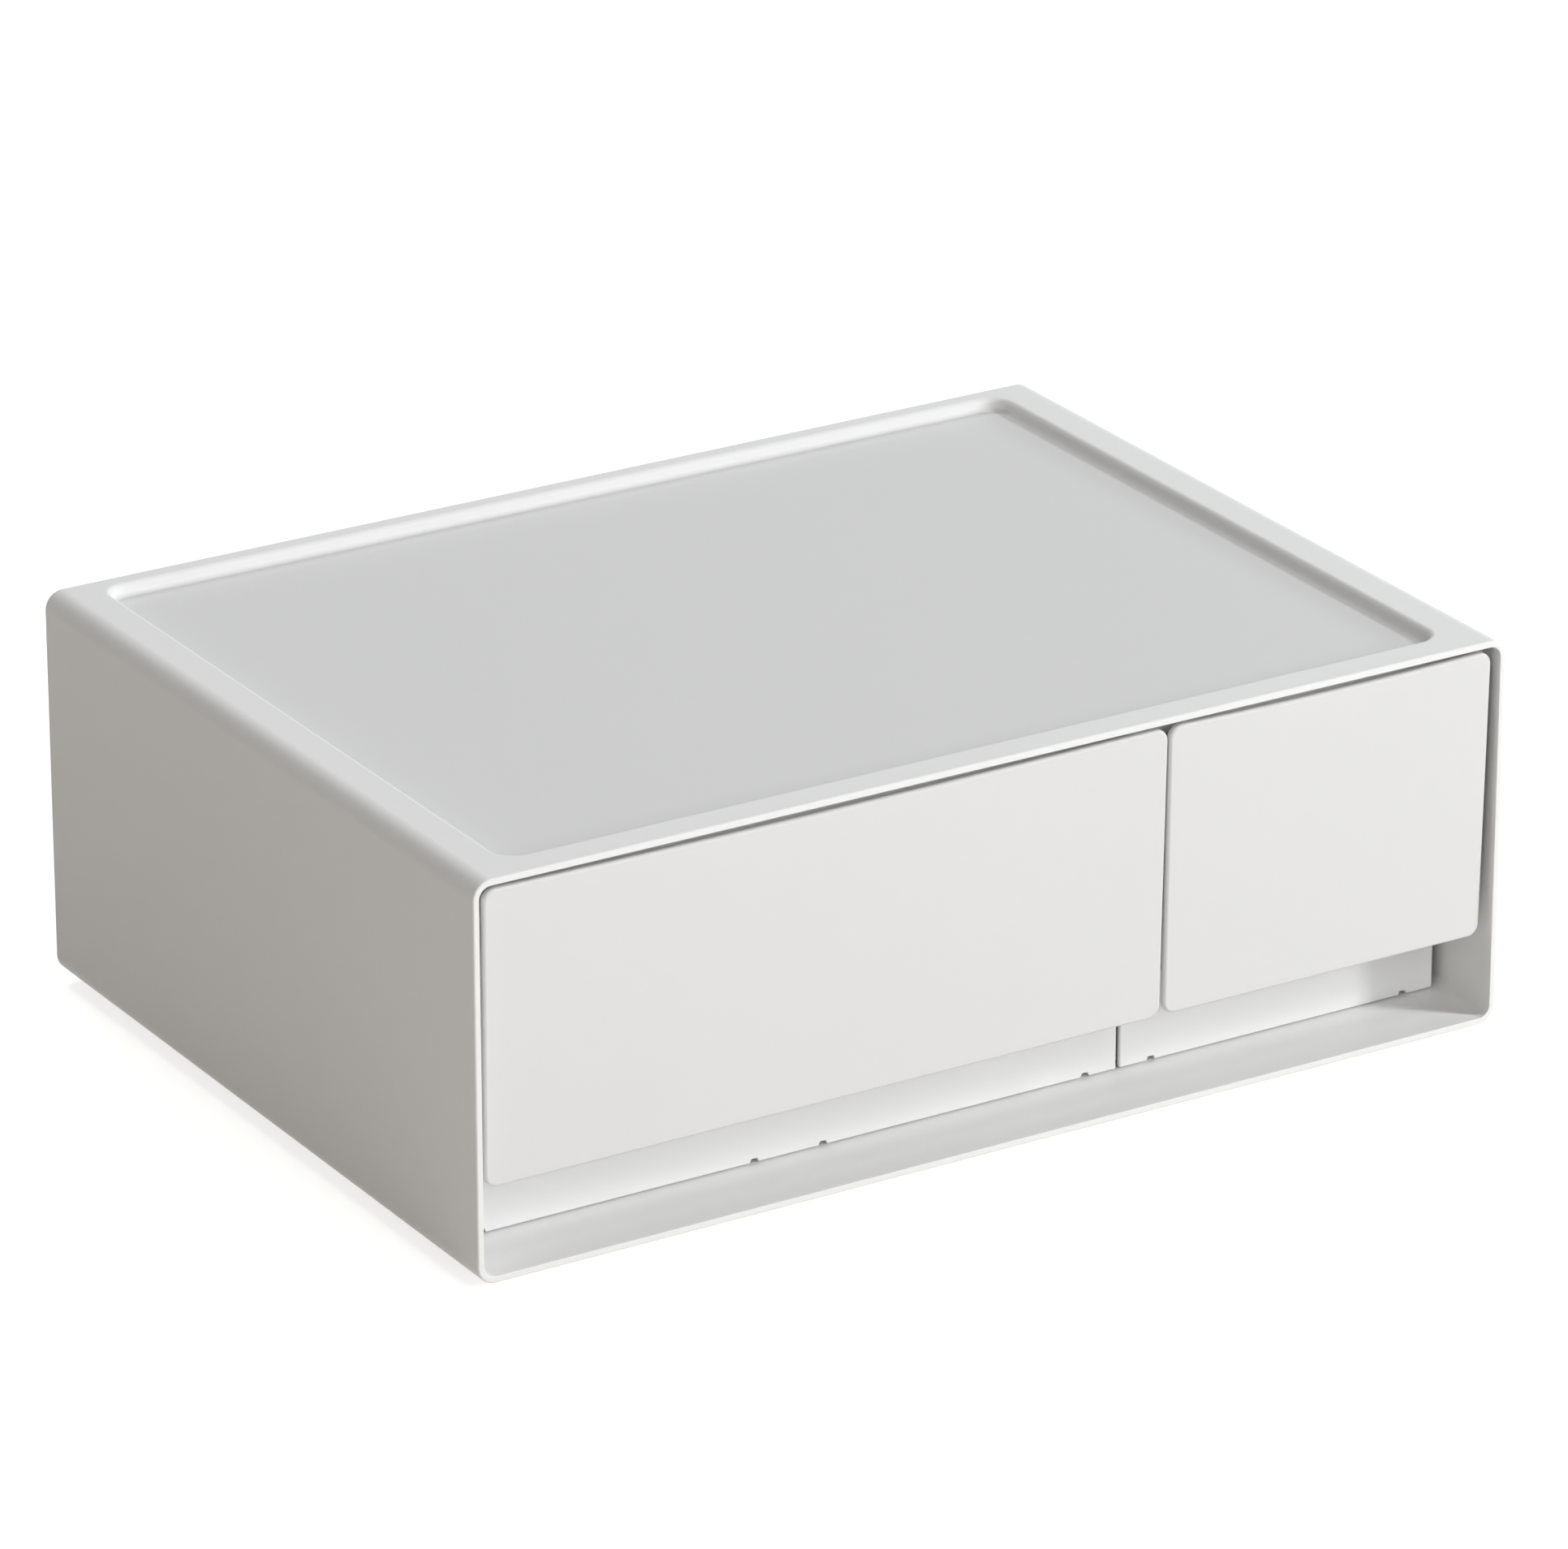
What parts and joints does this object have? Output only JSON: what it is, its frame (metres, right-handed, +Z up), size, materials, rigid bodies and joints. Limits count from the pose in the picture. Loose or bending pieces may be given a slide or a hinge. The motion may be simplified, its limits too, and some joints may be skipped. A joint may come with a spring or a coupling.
{
  "type": "stackable drawer box",
  "caption": "White plastic drawer box with a wide and a narrow drawer side by side, a finger gap under their fronts, and a dished top that takes the feet of the next box.",
  "frame": {"origin": "middle of the footprint, on the surface that the foot pads stand on", "axes": "+X to the right along the width, seen from the front; -Y out of the drawer fronts; +Z up"},
  "size_m": [0.34, 0.25, 0.123],
  "materials": {
    "casing_plastic": "satin white, finely grained",
    "front_plastic": "satin white, smooth",
    "tray_plastic": "satin white, smooth",
    "pad_rubber": "soft light grey rubber"
  },
  "bodies": {
    "casing": {"casing_sleeve": "casing_plastic", "back_panel": "casing_plastic", "foot_pad_front_left": "pad_rubber", "foot_pad_front_right": "pad_rubber", "foot_pad_rear_left": "pad_rubber", "foot_pad_rear_right": "pad_rubber"},
    "wide_drawer": {"wide_drawer_tray": "tray_plastic", "wide_drawer_front": "front_plastic"},
    "narrow_drawer": {"narrow_drawer_tray": "tray_plastic", "narrow_drawer_front": "front_plastic"}
  },
  "joints": [
    {"name": "wide_drawer_slide", "type": "slide", "parent": "casing", "child": "wide_drawer", "axis": [0, -1, 0], "range_m": [0, 0.18]},
    {"name": "narrow_drawer_slide", "type": "slide", "parent": "casing", "child": "narrow_drawer", "axis": [0, -1, 0], "range_m": [0, 0.18]}
  ]
}
